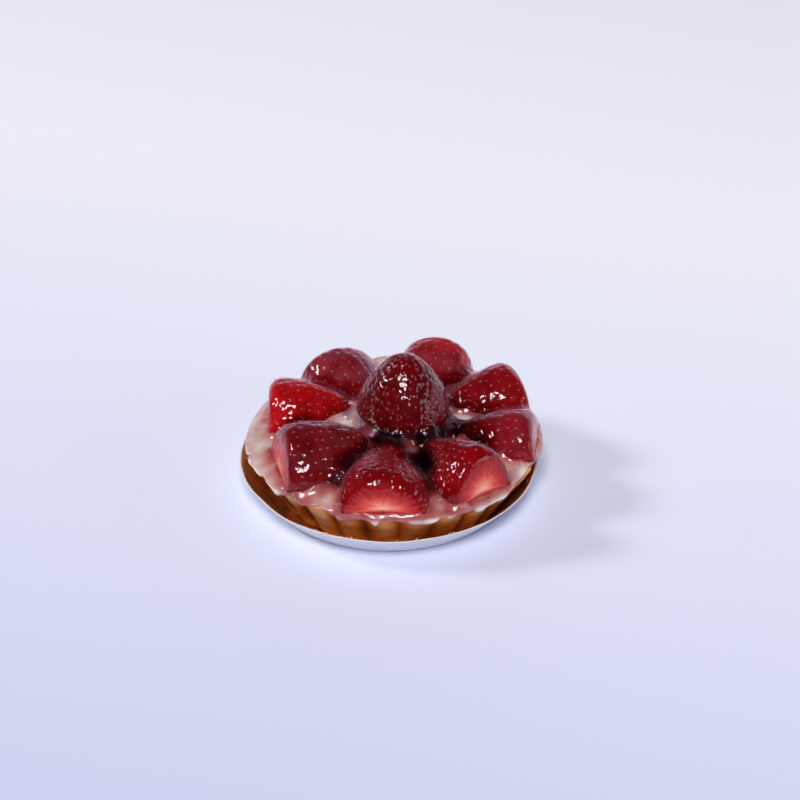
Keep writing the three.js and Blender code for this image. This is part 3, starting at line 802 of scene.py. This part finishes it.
def make_cream():
    front = all_round(FLUTES * 30)
    rim = crust_rim_z(front)
    hang = cream_hang(front)
    drop = np.maximum(hang, 0)
    short = np.maximum(-hang, 0)
    foot = rim - drop
    hanging = smooth(hang, -0.6, 1.0)
    bulge = (0.4 + 0.36 * clamp(drop - 0.6, 0, 3) + 0.15 * wave(front, 9, 0.6)) * hanging

    def wall(z):
        return crust_radius(front, z) + 0.25 - short

    def lip(z):
        return wall(z) + CREAM_FILL * flute_depth(front, z)

    top_radii = np.concatenate([np.linspace(1.5, 46, 52), np.linspace(46.7, 51, 7)])
    rows = [(r + 0 * front, 0 * front) for r in top_radii]
    level_edge = CRUST_RIM_RADIUS + CRUST_UNEVEN * wave(front, 5, 1.7) - 0.5 * short
    lip_points = np.array([
        [51.8 - 0.6 * short, CREAM_EDGE_Z + 0 * front - 0.1 * short],
        [level_edge - 1.3, rim + 1.0],
        [lerp(level_edge, lip(rim), 0.15) + 0.2 * hanging, rim + 0.35],
        [lerp(level_edge, lip(rim), 0.45) + lerp(0.5 * hanging, bulge, 0.15), rim - 0.4],
        [lip(lerp(rim, foot, 0.7)) + 0.95 * bulge, lerp(rim, foot, 0.75)],
        [lip(foot) + 0.6 * bulge, foot - 0.15 + 0.3 * (hang < 0)],
        [wall(foot) + 0.1 * bulge, foot + 0.1],
    ])
    # a smooth curve through the lip's points
    count, lip_rows = len(lip_points), 26
    for t in np.linspace(0, count - 1, lip_rows):
        i = min(int(t), count - 2)
        f = t - i
        p0, p1 = lip_points[max(i - 1, 0)], lip_points[i]
        p2, p3 = lip_points[i + 1], lip_points[min(i + 2, count - 1)]
        rows.append(0.5 * (2 * p1 + (p2 - p0) * f + (2 * p0 - 5 * p1 + 4 * p2 - p3) * f ** 2
                           + (3 * p1 - p0 - 3 * p2 + p3) * f ** 3))
    rows.append((wall(rim) - 0.4, rim + 0.1))
    rows.append((cavity_radius(CRUST_RIM_Z) - GAP + 0 * front, rim - 0.2))
    floor_z = CRUST_BASE_Z + CRUST_FLOOR + GAP
    rows.append((cavity_radius(floor_z) - GAP + 0 * front, floor_z + 0 * front))
    radii, heights = np.array(rows).transpose(1, 0, 2)
    rings = on_tart(front, radii, heights)

    top = len(top_radii)
    x, y = rings[..., 0] - TART_OFFSET, rings[..., 1]
    rings[:top, :, 2] = cream_top(x[:top], y[:top]) + 0.35 * lumpy(rings[:top], 9.0, 2.0, 2)
    level = rings[..., 2].copy()
    nearest, second = berry_gaps(x, y, level)
    rise = np.zeros(rings.shape[:2])
    lumps = 0.9 * lumpy(rings, 4.0, 12.0, 2)
    for size in HALVES.values():
        away, along = berry_distance(size, x, y, level)
        under = seat_height(size) + np.tan(size["lift"]) * clamp(along, 0, size["length"]) - 0.2
        gap = under - level
        lifted = clamp(gap * 0.8, 0, 5) * smooth(-away, 0.5, 4.0)
        meets = smooth(4.5 - gap, 0, 1.5)
        banked = (clamp(gap, 0, 3) + np.where(away < 0, 0.3, 0.9) + lumps) * meets
        banked *= np.exp(-np.maximum(away, 0) / 1.5)
        rise = np.maximum(rise, np.maximum(np.where(away < 0, lifted, 0), banked))
    rise[top:] *= smooth(level[top:] - rim, -0.7, 0.5)
    rise[top + lip_rows:] = 0
    rings[..., 2] += rise
    edge = rings[top:top + lip_rows]
    edge += (0.25 * lumpy(edge, 8.0, 7.0, 2))[..., None] * np.array([0.5, 0.5, 1])
    radius = np.hypot(x, y)
    # painted shade: the cream is darkened where it lies between two berries, most of all at the front
    crevice_shade = np.exp(-nearest / 3.0 - second / 5.0) * smooth(CREAM_SHADE_REACH - radius, 0, 8)
    crevice_shade *= 1 - unshaded_cream(x + TART_OFFSET, y)
    # juice stains the cream pink near the berries and along the front, and leaves the back and the hanging lip pale;
    # between two berries the darker colour is painted shade, darkest at the front
    juice = 0.22 + 0.36 * np.exp(-nearest / 2.5) + crevice_shade * lerp(0.2, 1.1, smooth(-y, -4, 8))
    juice += 0.07 * smooth(-y, 15, 35) * smooth(x, -44, -30)
    juice -= 0.14 * smooth(40 - radius, 0, 10) * smooth(y, -6, 6)
    juice[top:] -= 0.38 * smooth(drop, 0.8, 2.4) * smooth(rim - rings[top:, :, 2], -0.7, 0.9)
    for where, width, strength in JUICE_RUNS:
        juice += strength * bump_at(front, dict(front=where, width=width)) * smooth(radius, 50, 54)
    juice += 0.16 * lumpy(rings, 7.0, 4.0, 2)
    juice[top:] = np.minimum(juice[top:], 0.56)
    points, faces = closed_form([TART_OFFSET, 0, float(cream_top(0, 0))], rings, [TART_OFFSET, 0, floor_z])
    piece = make_piece("cream_filling", points, [f[::-1] for f in faces], [CREAM],
                       juice=np.concatenate([[0.2], juice.ravel(), [0.2]]))
    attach(piece, "root")
    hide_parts("cream")


# ---------------- glaze
def make_glaze():
    """The glaze runs over everything on top: the pieces' outlines are swollen, joined and shrunk back, which
    leaves a hollow fillet wherever two of them meet."""
    front = all_round(156)
    radii = np.concatenate([np.linspace(2, 48, 40), [49.5, 50.5]])[:, None]
    x, y = radii * np.sin(front), -radii * np.cos(front)
    top = cream_top(x, y) - 0.9 - 1.5 * smooth(radii + 0 * x, 47, 50.5)
    upper = np.stack([x + TART_OFFSET, y, top], -1)
    lower = np.stack([x[::-1] + TART_OFFSET, y[::-1], 0 * top + GLAZE_FOOT_Z], -1)
    slab, slab_faces = closed_form([TART_OFFSET, 0, float(cream_top(0, 0))], np.concatenate([upper, lower]),
                                   [TART_OFFSET, 0, GLAZE_FOOT_Z])
    bodies = [plain_berry(size) for size in (*HALVES.values(), WHOLE)]
    points, faces = joined([*bodies, (slab, [f[::-1] for f in slab_faces])])
    piece = make_piece("fruit_glaze", points, faces, [GLAZE])
    for kind, settings in [
        ("DISPLACE", dict(strength=GLAZE_FILLET * MM, mid_level=0)),
        ("REMESH", dict(mode="VOXEL", voxel_size=GLAZE_MESH * MM)),
        ("DISPLACE", dict(strength=-(GLAZE_FILLET - GLAZE_FILM) * MM, mid_level=0)),
        ("SMOOTH", dict(iterations=9, factor=0.5)),
    ]:
        modifier = piece.modifiers.new(kind, kind)
        for name, value in settings.items():
            setattr(modifier, name, value)
    shaped = bpy.data.meshes.new_from_object(piece.evaluated_get(bpy.context.evaluated_depsgraph_get()))
    piece.modifiers.clear()
    piece.data = shaped

    spots = kdtree.KDTree(len(SEED_SPOTS))
    for number, (spot, *_) in enumerate(SEED_SPOTS):
        spots.insert(spot, number)
    spots.balance()
    surface, normals = (np.empty(3 * len(shaped.vertices), np.float32) for _ in range(2))
    shaped.vertices.foreach_get("co", surface)
    shaped.vertex_normals.foreach_get("vector", normals)
    points = surface.reshape(-1, 3) / MM
    found = [spots.find(point)[1:] for point in points]
    away = np.array([distance for _, distance in found])
    speckle, depth, milky_sheen = np.array([SEED_SPOTS[number][1:] for number, _ in found]).T
    give(shaped, "speckle", speckle * smooth(9 - away, 0, 3))
    # painted sheen on the glaze over each berry, fading out away from its seeds
    give(shaped, "milky_sheen", milky_sheen * smooth(5 - away, 0, 3))
    nearest, second = berry_gaps(*(points - [TART_OFFSET, 0, 0]).T)
    x, y, z = points.T
    # painted shade: the gel is stained dark low down between the berries, most of all at the front, where it also
    # stands for thick, juice-dark gel
    thick_gel_shade = 1.5 * np.exp(-nearest / 4.0 - second / 6.0) * smooth(GEL_SHADE_TOP_Z - z, 0, 8)
    thick_gel_shade *= lerp(0.25, 1.0, smooth(-y, -4, 8))
    thick_gel_shade *= smooth(GEL_SHADE_REACH - np.hypot(x - TART_OFFSET, y), 0, 8) * (1 - unshaded_cream(x, y))
    give(shaped, "thick_gel_shade", thick_gel_shade)
    sag = GLAZE_DIMPLE * MM * depth * bell(away, PIT_RADIUS)
    shaped.vertices.foreach_set("co", surface - normals * np.repeat(sag, 3))
    shaped.shade_smooth()
    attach(piece, "root")


def make_crumbs(random):
    """Loose crumbs of crust, caught in the dish at the front and scattered more thinly round the rest."""
    crumbs, tones = [], []
    fronts = np.concatenate([random.uniform(-30, -8, FRONT_CRUMBS), random.uniform(-180, 180, STRAY_CRUMBS)])
    for front in np.radians(fronts):
        height = random.uniform(9.4, 10.9)
        radius = DISH_RIM_RADIUS - CARD_ACROSS - DISH_SLOPE * (DISH_HEIGHT - height) - 0.25
        shape, faces = seed_shape(*random.uniform(0.5, 1.3, 3), rows=3, columns=6)
        shape = shape * (1 + 0.35 * random.normal(size=(len(shape), 1)).clip(-1, 1))
        crumbs.append((shape + [radius * math.sin(front), -radius * math.cos(front), height], faces))
        tones.append(np.full(len(shape), random.uniform(0.05, 0.5)))
    piece = make_piece("loose_crumbs", *joined(crumbs), [CRUST], baked=np.concatenate(tones))
    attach(piece, "root")


make_dish()
make_crust()
make_cream()
random = np.random.default_rng(RANDOM_SEED)
for name, size in [*HALVES.items(), ("whole_strawberry", WHOLE)]:
    make_berry(name, size, random)
make_glaze()
make_crumbs(random)


# ---------------- floor and light
def soft_light(name, place, width, height, power, colour):
    """A lamp with a soft box that looks at the tart. Lengths are in metres, power in watts."""
    data = bpy.data.lights.new(name, "AREA")
    data.shape = "RECTANGLE"
    data.size, data.size_y = width, height
    data.energy = power
    data.color = linear(colour)[:3]
    light = bpy.data.objects.new(name, data)
    light.location = place
    light.rotation_euler = (Vector((0, 0, 0.02)) - Vector(place)).to_track_quat("-Z", "Y").to_euler()
    bpy.context.scene.collection.objects.link(light)


def studio_air():
    """A bright pale sweep low down behind and on the right, and a dark room above and behind the camera."""
    world = bpy.data.worlds.new("studio")
    world.use_nodes = True
    tree = world.node_tree
    tree.nodes.clear()
    direction = add(tree, "TexCoord").outputs["Generated"]
    low_behind = add(tree, "VectorMath", {1: (0.2, 0.45, -0.9)}, {0: direction}, operation="DOT_PRODUCT")
    level = add(tree, "MapRange", {"From Min": -0.15, "From Max": 0.35}, {"Value": low_behind.outputs["Value"]})
    tint = add(tree, "ValToRGB", links={"Fac": level}, stops=[(0.0, "#302f3a"), (1.0, "#e8e6ff")])
    light = add(tree, "Background", {"Strength": 1.2}, {"Color": tint})
    add(tree, "OutputWorld", links={"Surface": light})
    bpy.context.scene.world = world


corners = np.array([(-1, -1, 0), (1, -1, 0), (1, 1, 0), (-1, 1, 0)]) * FLOOR_REACH
floor = make_piece("floor", corners, [(0, 1, 2, 3)], [LAMINATE])
soft_light("left_softbox", (-3.205, 0.45, 2.351), 0.85, 0.85, 63.0, "#fbfcff")
soft_light("front_softbox", (-0.135, -2.568, 3.064), 1.25, 1.25, 135.0, "#fbfbff")
soft_light("right_bounce", (2.6, -0.9, 0.9), 1.6, 0.9, 12.0, "#e4ecff")
studio_air()
bpy.context.scene.view_settings.view_transform = "Standard"
